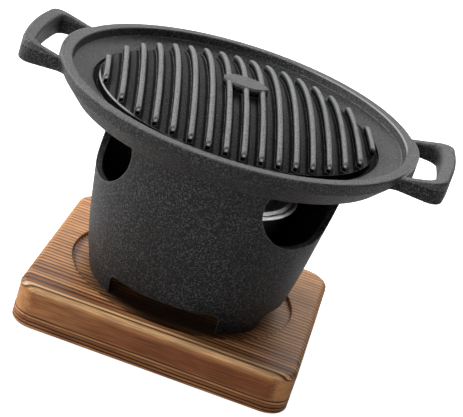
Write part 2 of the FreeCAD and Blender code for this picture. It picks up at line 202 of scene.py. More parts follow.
def edge_wear_glint_group():
    """Rounded normals at edges, and a mask of the edges themselves."""
    wiring, given, result = new_group(
        "edge_wear_glint",
        [("Breakup", "NodeSocketFloat", 0.5)],
        [("Mask", "NodeSocketFloat"), ("Normal", "NodeSocketVector")])
    rounded = wiring.node("ShaderNodeBevel", {"Radius": 0.0008}, samples=6)
    flat = wiring.node("ShaderNodeNewGeometry").outputs["Normal"]
    facing = wiring.vector_math("DOT_PRODUCT", rounded.outputs[0], flat)
    bent = wiring.math("SUBTRACT", 1.0, facing)
    # The mask marks the edges that the coat shows lighter: wear, and a painted highlight.
    worn = wiring.times(wiring.step(bent, 0.01, 0.12), given.outputs["Breakup"])
    wiring.feed(result.inputs["Mask"], worn)
    wiring.feed(result.inputs["Normal"], rounded.outputs[0])


def cast_grain_group():
    """Sand-cast skin under a dark coating: pits, grains and slow mottling."""
    wiring, given, result = new_group(
        "cast_grain",
        [("Position", "NodeSocketVector", None), ("Grain", "NodeSocketFloat", 1100.0)],
        [("Height", "NodeSocketFloat"), ("Speckle", "NodeSocketFloat"),
         ("Mottle", "NodeSocketFloat")])
    position, grain = given.outputs["Position"], given.outputs["Grain"]
    coarse = wiring.noise(position, grain, 2.0, 0.6)
    fine = wiring.noise(position, wiring.times(grain, 2.6), 1.0)
    pits = wiring.cells(position, wiring.times(grain, 0.55))
    dense = wiring.math("MULTIPLY_ADD", pits, -0.2, coarse)
    wiring.feed(result.inputs["Height"], wiring.math("MULTIPLY_ADD", fine, 0.45, coarse))
    wiring.feed(result.inputs["Speckle"], wiring.step(dense, 0.38, 0.55))
    wiring.feed(result.inputs["Mottle"], wiring.noise(position, 38.0, 3.0))


def wood_rings(wiring, position):
    """Growth rings along the board: their number, in from the front, and the late wood.

    Low on the front wall they are numbered downwards, so that it carries level lines."""
    x, y, z = wiring.split(position)
    slow = wiring.noise(wiring.stretched(position, 7.0, 60.0, 60.0), 1.0, 2.0)
    drift = wiring.times(wiring.math("SUBTRACT", slow, 0.5), RING_DRIFT)
    drift = wiring.times(wiring.math("MULTIPLY_ADD", x, RING_SLANT, drift),
                         wiring.step(y, -0.0800, -0.0600))
    across = wiring.math("MAXIMUM", wiring.math("ADD", y, RING_START), -RING_MARGIN)
    across = wiring.math("ADD", across, drift)
    wall = wiring.times(wiring.fade(z, 0.0212, 0.0242), wiring.fade(y, -0.064, -0.052))
    short = wiring.times(wiring.math("ADD", across, RING_MARGIN), wall)
    closing = wiring.times(wiring.math("SUBTRACT", across, short), RINGS_ACROSS)
    ripple = wiring.noise(wiring.stretched(position, 16.0, 4.0, 90.0), 1.0, 1.0)
    level = wiring.math("SUBTRACT", FACE_LINE_TOP, z)
    under = wiring.math("MAXIMUM", wiring.math("MULTIPLY_ADD", ripple, -0.0016, level), 0.0)
    rings = wiring.math("MULTIPLY_ADD", under, RINGS_DOWN,
                        wiring.math("ADD", closing, RING_OFFSET))
    late = wiring.band(wiring.math("FRACT", rings), (0.34, 0.70, 0.84, 0.99))
    return rings, late


# Geometry Nodes helpers

def new_shape_tree(name, sizes):
    """A Geometry Nodes tree that takes a geometry, named sizes and a material."""
    shape = ("Geometry", "NodeSocketGeometry")
    inputs = [(*shape, None), *sizes, ("Material", "NodeSocketMaterial", None)]
    return new_group(name, inputs, [shape], "GeometryNodeTree")


def push_out(wiring, geometry, amount):
    """Moves a surface along its normals."""
    normal = wiring.node("GeometryNodeInputNormal").outputs[0]
    return wiring.node("GeometryNodeSetPosition", {
        "Geometry": geometry,
        "Offset": wiring.vector_math("SCALE", normal, amount)}).outputs[0]


def close_tree(wiring, given, result, geometry):
    """Ends a tree in Realize Instances and Set Material, and gives it back."""
    real = wiring.node("GeometryNodeRealizeInstances", {0: geometry})
    painted = wiring.node("GeometryNodeSetMaterial", {
        "Geometry": real.outputs[0], "Material": given.outputs["Material"]})
    wiring.feed(result.inputs[0], painted.outputs[0])
    return wiring.tree


def bake_tree(piece, tree, **values):
    """Runs a tree on a piece and leaves a plain mesh behind."""
    modifier = piece.modifiers.new("shape", "NODES")
    modifier.node_group = tree
    for socket in tree.interface.items_tree:
        if socket.item_type == "SOCKET" and socket.in_out == "INPUT" and socket.name in values:
            modifier[socket.identifier] = values[socket.name]
    bpy.context.view_layer.update()
    graph = bpy.context.evaluated_depsgraph_get()
    mesh = bpy.data.meshes.new_from_object(piece.evaluated_get(graph), depsgraph=graph)
    piece.modifiers.remove(modifier)
    piece.data = mesh
    mesh.name = piece.name


def new_piece(name, vertices, faces, material=None):
    mesh = bpy.data.meshes.new(name)
    mesh.from_pydata([tuple(v) for v in vertices], [], faces)
    mesh.validate()
    mesh.update()
    piece = bpy.data.objects.new(name, mesh)
    bpy.context.scene.collection.objects.link(piece)
    if material is not None:
        mesh.materials.append(material)
    return piece


def smooth(piece, degrees=40.0):
    """Smooth shading with sharp edges kept beyond an angle."""
    mesh = piece.data
    mesh.polygons.foreach_set("use_smooth", [True] * len(mesh.polygons))
    mesh.set_sharp_from_angle(angle=math.radians(degrees))


def unit_circle(count):
    """Points of a circle of radius 1, equally turned."""
    turns = [2 * math.pi * number / count for number in range(count)]
    return [(math.cos(turn), math.sin(turn)) for turn in turns]


def skin_rings(rings, first_point, last_point):
    """Faces between rings of points, closed by a fan at both ends."""
    count = len(rings[0])
    vertices = [first_point]
    for ring in rings:
        vertices.extend(ring)
    vertices.append(last_point)
    faces = []
    for number in range(len(rings) - 1):
        base = 1 + number * count
        for i in range(count):
            j = (i + 1) % count
            faces.append((base + i, base + count + i, base + count + j, base + j))
    end = 1 + (len(rings) - 1) * count
    last = len(vertices) - 1
    for i in range(count):
        j = (i + 1) % count
        faces.append((0, 1 + i, 1 + j))
        faces.append((last, end + j, end + i))
    return vertices, faces


def paint(node, material):
    """Gives a CAD node its finish, slot by slot."""
    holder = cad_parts[node]
    if not holder.data.materials:
        holder.data.materials.append(material)
    for slot in holder.material_slots:
        slot.link = "OBJECT"
        slot.material = material


# Settings

class BoardSettings(bpy.types.PropertyGroup):
    light_wood: bpy.props.FloatVectorProperty(
        name="Light wood", description="Early wood between the dark lines", subtype="COLOR",
        size=3, min=0.0, max=1.0, default=(0.79, 0.375, 0.147))
    warm_wood: bpy.props.FloatVectorProperty(
        name="Warm wood", description="Browner bands of early wood", subtype="COLOR",
        size=3, min=0.0, max=1.0, default=(0.270, 0.088, 0.030))
    dark_line: bpy.props.FloatVectorProperty(
        name="Dark line", description="Charred late-wood lines", subtype="COLOR",
        size=3, min=0.0, max=1.0, default=(0.036, 0.009, 0.004))
    # Painted highlight: the pale band along the board's rounded upper front edge, coloured as
    # rubbed wood.
    edge_highlight: bpy.props.FloatVectorProperty(
        name="Edge wood", description="Pale band rubbed along the upper front edge",
        subtype="COLOR",
        size=3, min=0.0, max=1.0, default=(0.95, 0.56, 0.27))
    # Painted shadow: the stove's shadow on the board between and before its feet, coloured as a
    # heat scorch.
    stove_shadow: bpy.props.FloatVectorProperty(
        name="Scorch", description="Wood browned by the heat between the stove's feet",
        subtype="COLOR",
        size=3, min=0.0, max=1.0, default=(0.016, 0.007, 0.004))
    relief: bpy.props.FloatProperty(
        name="Relief", description="How far the early wood is brushed down",
        subtype="DISTANCE", unit="LENGTH", min=0.0, max=0.001, default=0.00022)
    corner_radius: bpy.props.FloatProperty(
        name="Corner radius", description="Radius of the board's corners in plan",
        subtype="DISTANCE", unit="LENGTH", min=0.004, max=0.03, default=0.015)
    top_round: bpy.props.FloatProperty(
        name="Top edge round", description="Radius of the board's upper edge",
        subtype="DISTANCE", unit="LENGTH", min=0.001, max=0.008, default=0.004)
    recess_radius: bpy.props.FloatProperty(
        name="Recess radius", description="Radius of the round recess for the stove",
        subtype="DISTANCE", unit="LENGTH", min=0.06, max=0.076, default=0.0705)
    recess_depth: bpy.props.FloatProperty(
        name="Recess depth", description="Depth of the recess below the top",
        subtype="DISTANCE", unit="LENGTH", min=0.001, max=0.006, default=0.003)


class CastingSettings(bpy.types.PropertyGroup):
    coating: bpy.props.FloatVectorProperty(
        name="Coating", description="Dark coat over the castings", subtype="COLOR",
        size=3, min=0.0, max=1.0, default=(0.0026, 0.0028, 0.0031))
    speckle: bpy.props.FloatVectorProperty(
        name="Speckle", description="Lighter grains in the coat", subtype="COLOR",
        size=3, min=0.0, max=1.0, default=(0.100, 0.102, 0.107))
    # Painted highlight on the rib crests and rim, coloured as a lighter rubbed coat.
    highlight_coat: bpy.props.FloatVectorProperty(
        name="Worn face", description="Rubbed coat on rib crests and rim", subtype="COLOR",
        size=3, min=0.0, max=1.0, default=(0.31, 0.31, 0.315))
    # Painted glints: bright spots at the near rib ends, on the dome's left lip and along the far
    # right rim.
    glint_coat: bpy.props.FloatVectorProperty(
        name="Bare metal", description="Bright spots at the rib ends and on sharp edges",
        subtype="COLOR",
        size=3, min=0.0, max=1.0, default=(0.88, 0.88, 0.89))
    # Painted shade between the ribs and in the trench, coloured as soot.
    soot: bpy.props.FloatVectorProperty(
        name="Soot", description="Burnt-on film between the ribs", subtype="COLOR",
        size=3, min=0.0, max=1.0, default=(0.004, 0.004, 0.004))
    # Edges lighter from wear, and as a painted highlight along them.
    worn_edge_glint: bpy.props.FloatVectorProperty(
        name="Worn edge", description="Where handling rubs the coat lighter", subtype="COLOR",
        size=3, min=0.0, max=1.0, default=(0.45, 0.45, 0.455))


class BurnerSettings(bpy.types.PropertyGroup):
    steel: bpy.props.FloatVectorProperty(
        name="Steel", description="Bright pressed sheet", subtype="COLOR",
        size=3, min=0.0, max=1.0, default=(0.80, 0.80, 0.79))
    wire_pitch: bpy.props.FloatProperty(
        name="Wire pitch", description="Distance between the gauze wires",
        subtype="DISTANCE", unit="LENGTH", min=0.001, max=0.004, default=0.0017)
    wire_radius: bpy.props.FloatProperty(
        name="Wire radius", description="Half the thickness of a gauze wire",
        subtype="DISTANCE", unit="LENGTH", min=0.00005, max=0.0004, default=0.00014)


class StageSettings(bpy.types.PropertyGroup):
    key_power: bpy.props.FloatProperty(
        name="Key light", description="Power of the large lamp at the upper left",
        subtype="POWER", unit="POWER", min=0.0, max=200.0, default=16.0)
    fill_power: bpy.props.FloatProperty(
        name="Fill light", description="Power of the lamp beside the camera",
        subtype="POWER", unit="POWER", min=0.0, max=200.0, default=3.8)
    back_power: bpy.props.FloatProperty(
        name="Back light", description="Power of the lamp behind the grill",
        subtype="POWER", unit="POWER", min=0.0, max=200.0, default=8.0)
    notch_power: bpy.props.FloatProperty(
        name="Notch light",
        description="Power of the narrow lamp that shines through the right notch",
        subtype="POWER", unit="POWER", min=0.0, max=200.0, default=42.0)
    surround: bpy.props.FloatProperty(
        name="Surround", description="Soft light from all round", min=0.0, max=2.0, default=0.22)


# Camera and stage

class GRILL_OT_camera(bpy.types.Operator):
    """Sets the camera at the photograph's angle, with its tilt and framing"""
    bl_idname = "grill.camera"
    bl_label = "Camera"

    def execute(self, context):
        azimuth, elevation, roll = (math.radians(a) for a in (3.72888, 22.15257, 18.12705))
        distance = 1.07826
        focal_pixels = 1772.737
        shift_pixels = (10.916, -4.782)
        target = Vector((0.007576, 0.000574, 0.081638))
        back = Vector((math.sin(azimuth) * math.cos(elevation),
                       -math.cos(azimuth) * math.cos(elevation), math.sin(elevation)))
        level = Vector((math.cos(azimuth), math.sin(azimuth), 0.0))
        upright = back.cross(level)
        right = level * math.cos(roll) + upright * math.sin(roll)
        up = upright * math.cos(roll) - level * math.sin(roll)
        data = bpy.data.cameras.new("photo_camera")
        data.sensor_width = SENSOR_WIDTH
        data.lens = focal_pixels * SENSOR_WIDTH / PHOTO_WIDTH
        data.shift_x, data.shift_y = (pixels / PHOTO_WIDTH for pixels in shift_pixels)
        data.clip_start = 0.05
        data.clip_end = 30.0
        camera = bpy.data.objects.new("photo_camera", data)
        context.scene.collection.objects.link(camera)
        turn = Matrix((right, up, back)).transposed().to_4x4()
        camera.matrix_world = Matrix.Translation(target + back * distance) @ turn
        context.scene.camera = camera
        return {"FINISHED"}


class GRILL_OT_stage(bpy.types.Operator):
    """Makes the pale floor, the white surround and the soft lamps"""
    bl_idname = "grill.stage"
    bl_label = "Stage"

    def floor_material(self):
        material, wiring, shader, place = new_material(
            "pale_floor", Roughness=0.9, Specular_IOR_Level=0.0, Emission_Color=(1, 1, 1, 1))
        tone = wiring.step(wiring.noise(place, 3.0, 2.0), 0.2, 0.8, 0.80, 0.82)
        wiring.feed(shader.inputs["Base Color"], wiring.join(tone, tone, tone))
        rays = wiring.node("ShaderNodeLightPath")
        glow = wiring.times(rays.outputs["Is Camera Ray"], 0.92)
        wiring.feed(shader.inputs["Emission Strength"], glow)
        return material

    def hang(self, data, place, aim, power):
        """Puts a lamp at a place, turned to what it lights."""
        data.energy = power
        lamp = bpy.data.objects.new(data.name, data)
        lamp.location = place
        lamp.rotation_euler = (Vector(aim) - Vector(place)).to_track_quat("-Z", "Y").to_euler()
        bpy.context.scene.collection.objects.link(lamp)

    def lamp(self, name, place, aim, size, power):
        data = bpy.data.lights.new(name, "AREA")
        data.shape = "RECTANGLE"
        data.size, data.size_y = size
        self.hang(data, place, aim, power)

    def spot(self, name, place, aim, power):
        data = bpy.data.lights.new(name, "SPOT")
        data.spot_size = math.radians(2.5)
        data.spot_blend = 0.6
        data.shadow_soft_size = 0.012
        self.hang(data, place, aim, power)

    def surround(self, strength):
        """White to the camera, soft light to surfaces, and one bright side in mirrors."""
        world = bpy.data.worlds.new("white_surround")
        bpy.context.scene.world = world
        world.use_nodes = True
        wiring = Wiring(world.node_tree)
        rays = wiring.node("ShaderNodeLightPath").outputs
        seen = wiring.math("MAXIMUM", rays["Is Camera Ray"], rays["Is Transmission Ray"])
        heading = wiring.node("ShaderNodeTexCoord").outputs["Generated"]
        toward = wiring.vector_math("DOT_PRODUCT", heading, (-0.62, 0.05, 0.78))
        bright = wiring.step(toward, 0.40, 0.98, 0.06, 1.4)
        mirrored = wiring.times(rays["Is Glossy Ray"], bright)
        soft = wiring.times(wiring.math("SUBTRACT", 1.0, rays["Is Glossy Ray"]), strength)
        unseen = wiring.math("ADD", mirrored, soft)
        backdrop = world.node_tree.nodes["Background"]
        wiring.feed(backdrop.inputs["Color"], (1, 1, 1, 1))
        wiring.feed(backdrop.inputs["Strength"], wiring.math("MAXIMUM", seen, unseen))

    def execute(self, context):
        settings = context.scene.grill_stage
        half = 4.0
        corners = [(-half, -half, 0), (half, -half, 0), (half, half, 0), (-half, half, 0)]
        floor = new_piece("floor", corners, [(0, 1, 2, 3)], self.floor_material())
        self.lamp("key_lamp", (-1.05, 0.30, 0.72), (0, 0, 0.12), (0.5, 0.5), settings.key_power)
        self.lamp("fill_lamp", (-0.45, -1.2, 0.55), (0, 0, 0.03), (0.8, 0.5), settings.fill_power)
        self.lamp("back_lamp", (0.1, 1.1, 0.75), (0, 0, 0.14), (1.2, 0.4), settings.back_power)
        self.spot("notch_lamp", (0.62, -0.50, 0.31), (0.032, -0.026, 0.102), settings.notch_power)
        self.surround(settings.surround)
        context.scene.view_settings.view_transform = "Standard"
        return {"FINISHED"}


# Wooden board

class GRILL_OT_board(bpy.types.Operator):
    """Builds the brushed and charred wooden board with its round recess"""
    bl_idname = "grill.board"
    bl_label = "Wooden board"

    sides = 600
    foot = 0.0015

    def outline(self, half_x, half_y, corner):
        """Points of a rounded rectangle on equally turned rays."""
        return [self.ray_hit(ray, half_x, half_y, corner) for ray in unit_circle(self.sides)]

    def ray_hit(self, ray, half_x, half_y, corner):
        across, along = abs(ray[0]), abs(ray[1])
        reach = min(half_x / max(across, 1e-9), half_y / max(along, 1e-9))
        x, y = reach * across, reach * along
        centre = (half_x - corner, half_y - corner)
        if x > centre[0] and y > centre[1]:
            dot = across * centre[0] + along * centre[1]
            gap = centre[0] ** 2 + centre[1] ** 2 - corner ** 2
            reach = dot + math.sqrt(max(dot * dot - gap, 0.0))
            x, y = reach * across, reach * along
        return (math.copysign(x, ray[0]), math.copysign(y, ray[1]))

    def inset(self, settings, high, amount):
        corner = max(settings.corner_radius - amount, 0.001)
        return self.outline(high.x - amount, high.y - amount, corner)

    def rings(self, settings, high):
        """Rings from the middle of the recess out over the top and down to the underside."""
        top, depth, bend = high.z, settings.recess_depth, settings.top_round
        fillet = 0.0003
        lip = 0.0005
        circle = unit_circle(self.sides)
        rings = []

        def ring(outline, height, scale=1.0):
            rings.append([(scale * x, scale * y, height) for x, y in outline])

        for radius in np.linspace(0.0015, settings.recess_radius - fillet, 52):
            ring(circle, top - depth, radius)
        ring(circle, top - depth + fillet, settings.recess_radius)
        ring(circle, top - depth / 2, settings.recess_radius)
        for turn in np.linspace(0, math.pi / 2, 4):
            ring(circle, top - lip * (1 - math.sin(turn)),
                 settings.recess_radius + lip * (1 - math.cos(turn)))
        inner = settings.recess_radius + lip
        edge = self.inset(settings, high, bend)
        for share in np.linspace(0, 1, 22)[1:]:
            ring([(inner * c * (1 - share) + x * share, inner * s * (1 - share) + y * share)
                  for (c, s), (x, y) in zip(circle, edge)], top)
        for turn in np.linspace(0, math.pi / 2, 8)[1:]:
            ring(self.inset(settings, high, bend * (1 - math.sin(turn))),
                 top - bend * (1 - math.cos(turn)))
        wall = self.inset(settings, high, 0.0)
        for height in np.linspace(top - bend, self.foot, 26)[1:]:
            ring(wall, height)
        for turn in np.linspace(0, math.pi / 2, 4)[1:]:
            under = self.inset(settings, high, self.foot * (1 - math.cos(turn)))
            ring(under, self.foot * (1 - math.sin(turn)))
        for share in (0.9, 0.75, 0.5, 0.25):
            ring(under, 0.0, share)
        return rings

    def relief_tree(self):
        """Brushes the early wood down between the late lines, though not below."""
        wiring, given, result = new_shape_tree(
            "board_relief", [("Depth", "NodeSocketFloat", 0.0002)])
        position = wiring.node("GeometryNodeInputPosition").outputs[0]
        late = wood_rings(wiring, position)[1]
        height = wiring.split(position)[2]
        worn = wiring.times(wiring.math("SUBTRACT", late, 1.0), given.outputs["Depth"],
                            wiring.step(height, 0.0, self.foot))
        return close_tree(wiring, given, result, push_out(wiring, given.outputs[0], worn))

    def wood(self, settings):
        """Light and brown early wood, dark late lines, painted shade and a painted highlight on the
        front, and the stove's painted shadow.
        """
        material, wiring, shader, place = new_material(
            "brushed_wood", Coat_Weight=0.03, Coat_Roughness=0.35, Specular_IOR_Level=0.2)
        warm = (*settings.warm_wood, 1.0)
        rings, late = wood_rings(wiring, place)
        x, y, z = wiring.split(place)
        chance = wiring.node("ShaderNodeTexWhiteNoise", noise_dimensions="1D")
        wiring.feed(chance.inputs["W"], wiring.math("FLOOR", rings))
        each = chance.outputs["Value"]

        # Early wood: bands from ring to ring, paler towards the back, browner low on the front,
        # with painted shade darkening it towards the right and a painted highlight along its upper
        # edge
        cloud = wiring.noise(wiring.stretched(place, 14.0, 60.0, 60.0), 1.0, 3.0)
        bands = wiring.math("MULTIPLY_ADD", each, 0.40, wiring.times(cloud, 0.75))
        bands = wiring.math("SUBTRACT", bands, wiring.step(y, -0.052, -0.030, 0.0, 0.22))
        early = wiring.mix(wiring.step(bands, 0.34, 0.92), (*settings.light_wood, 1.0), warm)
        face = wiring.fade(y, -0.0813, -0.0792)
        low = wiring.times(wiring.fade(z, 0.0190, 0.0235), wiring.step(z, 0.0080, 0.0105, 0.25))
        mottled = wiring.noise(wiring.stretched(place, 34.0, 200.0, 200.0), 1.0, 4.0, 0.6)
        # Painted shade: the low front face turns browner towards the right, away from the light at
        # the left, over the wood's own browner tone.
        shade_to_right = wiring.math("MULTIPLY_ADD", x, 3.2, mottled)
        browned = wiring.times(face, low, wiring.step(shade_to_right, 0.22, 0.52, 0.45))
        early = wiring.mix(browned, early, warm)
        # Painted highlight: a pale band along the rounded upper front edge.
        edge = wiring.times(wiring.fade(y, -0.0742, -0.0728), wiring.step(z, 0.0224, 0.0240), 0.9)
        early = wiring.mix(edge, early, (*settings.edge_highlight, 1.0))
        fibre = wiring.noise(wiring.stretched(place, 60.0, 2600.0, 2600.0), 1.0, 2.0)
        streak = wiring.step(wiring.math("MULTIPLY_ADD", mottled, 0.4, fibre),
                             0.50, 0.95, 0.58, 1.22)
        early = wiring.mix(1.0, early, wiring.join(streak, streak, streak), "MULTIPLY")

        # Late lines, weaker at the back, and a painted shadow of the stove on the wood between and
        # before its feet
        weight = wiring.math("MULTIPLY_ADD", each, 0.2, 0.8)
        line = wiring.times(late, weight, wiring.fade(y, -0.035, 0.03, 0.7))
        colour = wiring.mix(line, early, (*settings.dark_line, 1.0))
        ragged = wiring.math("MULTIPLY_ADD", mottled, 0.006, wiring.length(x, y))
        stove_shadow_mask = wiring.times(wiring.step(ragged, 0.0590, 0.0800, 0.95, 0.0),
                              wiring.fade(y, -0.045, -0.020, 0.45))
        colour = wiring.mix(stove_shadow_mask, colour, (*settings.stove_shadow, 1.0))
        wiring.feed(shader.inputs["Base Color"], colour)
        rough = wiring.math("MULTIPLY_ADD", late, -0.12, 0.52)
        wiring.feed(shader.inputs["Roughness"], rough)
        height = wiring.math("MULTIPLY_ADD", fibre, 0.35, late)
        wiring.feed(shader.inputs["Normal"], bump(wiring, height, 0.00018, strength=0.7))
        return material

    def execute(self, context):
        settings = context.scene.grill_board
        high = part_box("wooden_board")[1]
        top_centre = (0.0, 0.0, high.z - settings.recess_depth)
        vertices, faces = skin_rings(self.rings(settings, high), top_centre, (0.0, 0.0, 0.0))
        material = self.wood(settings)
        board = new_piece("board", vertices, faces, material)
        bake_tree(board, self.relief_tree(), Depth=settings.relief, Material=material)
        smooth(board, 50.0)
        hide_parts("wooden_board")
        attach(board, "base")
        return {"FINISHED"}


# Castings

def coated_casting(name, settings, grain, wear_and_glint, raised=None):
    """Matt dark coating on a casting, with grain, mottling, and edges lighter from wear and a
    painted highlight.

    raised gives, from the wiring and the position, three masks: where a painted highlight
    lightens the coat, where painted shade darkens it, and where painted glints show."""
    material, wiring, shader, place = new_material(name, Specular_IOR_Level=0.4)
    skin = use_group(wiring, "cast_grain", Position=place, Grain=grain).outputs
    patches = wiring.step(wiring.noise(place, 260.0, 3.0), 0.3, 0.75, 0.25 * wear_and_glint, wear_and_glint)
    rubbed = use_group(wiring, "edge_wear_glint", Breakup=patches).outputs
    patchy = wiring.step(skin["Mottle"], 0.3, 0.7, 0.65, 1.0)
    dots = wiring.times(skin["Speckle"], patchy)
    colour = wiring.mix(dots, (*settings.coating, 1.0), (*settings.speckle, 1.0))
    if raised is not None:
        highlight_mask, shade_mask, bright = raised(wiring, place)
        coarse = wiring.step(skin["Height"], 0.5, 0.95, 0.30, 1.0)
        # Painted highlight: rib crests and rim lighter.
        colour = wiring.mix(wiring.times(highlight_mask, coarse), colour, (*settings.highlight_coat, 1.0))
        # Painted shade between the ribs and in the trench, which also reflects less.
        colour = wiring.mix(shade_mask, colour, (*settings.soot, 1.0))
        shine = wiring.math("MAXIMUM", wiring.math("MULTIPLY_ADD", shade_mask, -0.55, 0.4), 0.02)
        wiring.feed(shader.inputs["Specular IOR Level"], shine)
    # Edges lighter: wear, and a painted highlight along them.
    colour = wiring.mix(rubbed["Mask"], colour, (*settings.worn_edge_glint, 1.0))
    if raised is not None:
        # Painted glints at the near rib ends and along the dome's lip and the far rim.
        colour = wiring.mix(bright, colour, (*settings.glint_coat, 1.0))
    wiring.feed(shader.inputs["Base Color"], colour)
    rough = wiring.math("MULTIPLY_ADD", skin["Mottle"], 0.16, 0.40)
    wiring.feed(shader.inputs["Roughness"], rough)
    wiring.feed(shader.inputs["Normal"], bump(wiring, skin["Height"], 0.0007, rubbed["Normal"]))
    return material


def plate_faces(wiring, place):
    """The plate's three masks: painted highlight, painted shade and painted glints."""
    x, y, z = wiring.split(place)
    flat = wiring.squares(x, y)
    radius = wiring.math("SQRT", flat)
    rise = wiring.math("SUBTRACT", z, DOME_CENTRE)
    reach = wiring.math("SQRT", wiring.math("MULTIPLY_ADD", rise, rise, flat))

    # Painted highlight: the rib crests, less so their middle pad and the rim
    field = wiring.fade(radius, RIB_FIELD_RADIUS + 0.0004, RIB_FIELD_RADIUS + 0.0014)
    crest_highlight = wiring.times(wiring.step(reach, CREST_RADIUS - 0.0016, CREST_RADIUS - 0.0004), field)
    pad = wiring.step(reach, CREST_RADIUS + 0.00015, CREST_RADIUS + 0.0003)
    crest_highlight = wiring.times(crest_highlight, wiring.math("MULTIPLY_ADD", pad, -0.6, 1.0))
    rim = wiring.times(wiring.step(z, RIM_TOP - 0.0012, RIM_TOP - 0.0004),
                       wiring.step(radius, TRENCH_RADIUS, TRENCH_RADIUS + 0.001), 0.34)
    highlight_mask = wiring.math("MAXIMUM", crest_highlight, rim)

    # Painted shade: between the ribs, less so on the middle line of each gap, and in the trench
    across = wiring.math("MULTIPLY_ADD", x, math.cos(RIB_SKEW),
                         wiring.times(y, math.sin(RIB_SKEW)))
    ribs = wiring.math("DIVIDE", across, RIB_PITCH)
    aside = wiring.math("ABSOLUTE", wiring.math("SUBTRACT", ribs, wiring.math("ROUND", ribs)))
    deep = wiring.fade(reach, CREST_RADIUS - 0.0032, CREST_RADIUS - 0.0016)
    shade_by_ribs = wiring.math("MULTIPLY_ADD", wiring.step(aside, 0.30, 0.37), -0.50, 1.0)
    ditch = wiring.step(radius, DOME_RADIUS - 0.0006, DOME_RADIUS + 0.0002)
    within = wiring.fade(radius, TRENCH_RADIUS - 0.0006, TRENCH_RADIUS)
    shade_mask = wiring.times(wiring.math("MAXIMUM", wiring.times(deep, shade_by_ribs), ditch), within)

    # Painted glints: the near rib ends, the dome's lip at the left and the rim's far right
    toe = wiring.band(reach, (-0.0026, -0.0019, -0.0013, -0.0006), CREST_RADIUS)
    tip = wiring.times(wiring.band(radius, (-0.0038, -0.0031, -0.0001, 0.0002), DOME_RADIUS),
                       wiring.fade(aside, 0.05, 0.12))
    glint = wiring.times(toe, tip, wiring.fade(y, -0.030, -0.018))
    lip = wiring.band(radius, (-0.0010, -0.0005, 0.0001, 0.0004), DOME_RADIUS)
    left = wiring.times(wiring.step(x, -0.058, -0.046, 0.55, 0.0),
                        wiring.fade(y, -0.022, -0.012),
                        wiring.step(z, DOME_LIP_HEIGHT, DOME_LIP_HEIGHT + 0.0004))
    edge = wiring.band(radius, (-0.0008, -0.0003, 0.0003, 0.0008), RIM_LINE_RADIUS)
    far = wiring.times(wiring.step(x, 0.010, 0.040, 0.0, 0.4), wiring.step(y, 0.0, 0.02),
                       wiring.step(z, RIM_TOP - 0.0010, RIM_TOP - 0.0006))
    bright = wiring.math("MAXIMUM", wiring.times(lip, left), wiring.times(edge, far))
    return highlight_mask, shade_mask, wiring.math("MAXIMUM", bright, glint)


class GRILL_OT_stove(bpy.types.Operator):
    """Coats the cast stove on its four feet"""
    bl_idname = "grill.stove"
    bl_label = "Cast stove"

    def execute(self, context):
        settings = context.scene.grill_casting
        paint("stove_shell", coated_casting("stove_coating", settings, 1100.0, 0.5))
        return {"FINISHED"}


class GRILL_OT_plate(bpy.types.Operator):
    """Coats the ribbed grill plate and its loop handles"""
    bl_idname = "grill.plate"
    bl_label = "Grill plate"

    def execute(self, context):
        settings = context.scene.grill_casting
        paint("grill_plate", coated_casting("plate_coating", settings, 1150.0, 1.0, plate_faces))
        return {"FINISHED"}


# Burner

def pressed_steel(name, settings, streak):
    """Bright sheet with fine turned lines, a little heat tint, and the outer wall made dark below
    the cup's top.
    """
    material, wiring, shader, place = new_material(name, Metallic=0.55)
    heat_tint = (0.42, 0.36, 0.29, 1.0)
    dark_wall = (0.012, 0.011, 0.010, 1.0)
    x, y, z = wiring.split(place)
    radius = wiring.length(x, y)
    turned = wiring.join(wiring.times(radius, streak), wiring.times(z, streak), 0.0)
    lines = wiring.noise(turned, 1.0, 2.0)
    smudge = wiring.noise(place, 55.0, 3.0)
    tint = wiring.step(smudge, 0.45, 0.75, 0.0, 0.35)
    colour = wiring.mix(tint, (*settings.steel, 1.0), heat_tint)
    # The outer wall is made dark below the cup's top.
    darker_below = wiring.times(wiring.fade(z, DARK_WALL_TOP - 0.003, DARK_WALL_TOP),
                         wiring.step(radius, CUP_WALL_RADIUS - 0.001, CUP_WALL_RADIUS))
    colour = wiring.mix(darker_below, colour, dark_wall)
    wiring.feed(shader.inputs["Base Color"], colour)
    rough = wiring.math("MULTIPLY_ADD", lines, 0.16, wiring.math("MULTIPLY_ADD", smudge, 0.2, 0.12))
    wiring.feed(shader.inputs["Roughness"], rough)
    wiring.feed(shader.inputs["Normal"], bump(wiring, lines, 0.00002))
    return material


class GRILL_OT_burner(bpy.types.Operator):
    """Finishes the burner's cup, collar, regulator, washer and rivet in bright sheet"""
    bl_idname = "grill.burner"
    bl_label = "Burner sheet parts"

    def execute(self, context):
        settings = context.scene.grill_burner
        streaks = {"burner_cup": 1500.0, "burner_collar": 2200.0, "flame_regulator": 3000.0,
                   "regulator_washer": 4000.0, "regulator_rivet": 5000.0}
        for node, streak in streaks.items():
            paint(node, pressed_steel(node + "_steel", settings, streak))
        return {"FINISHED"}


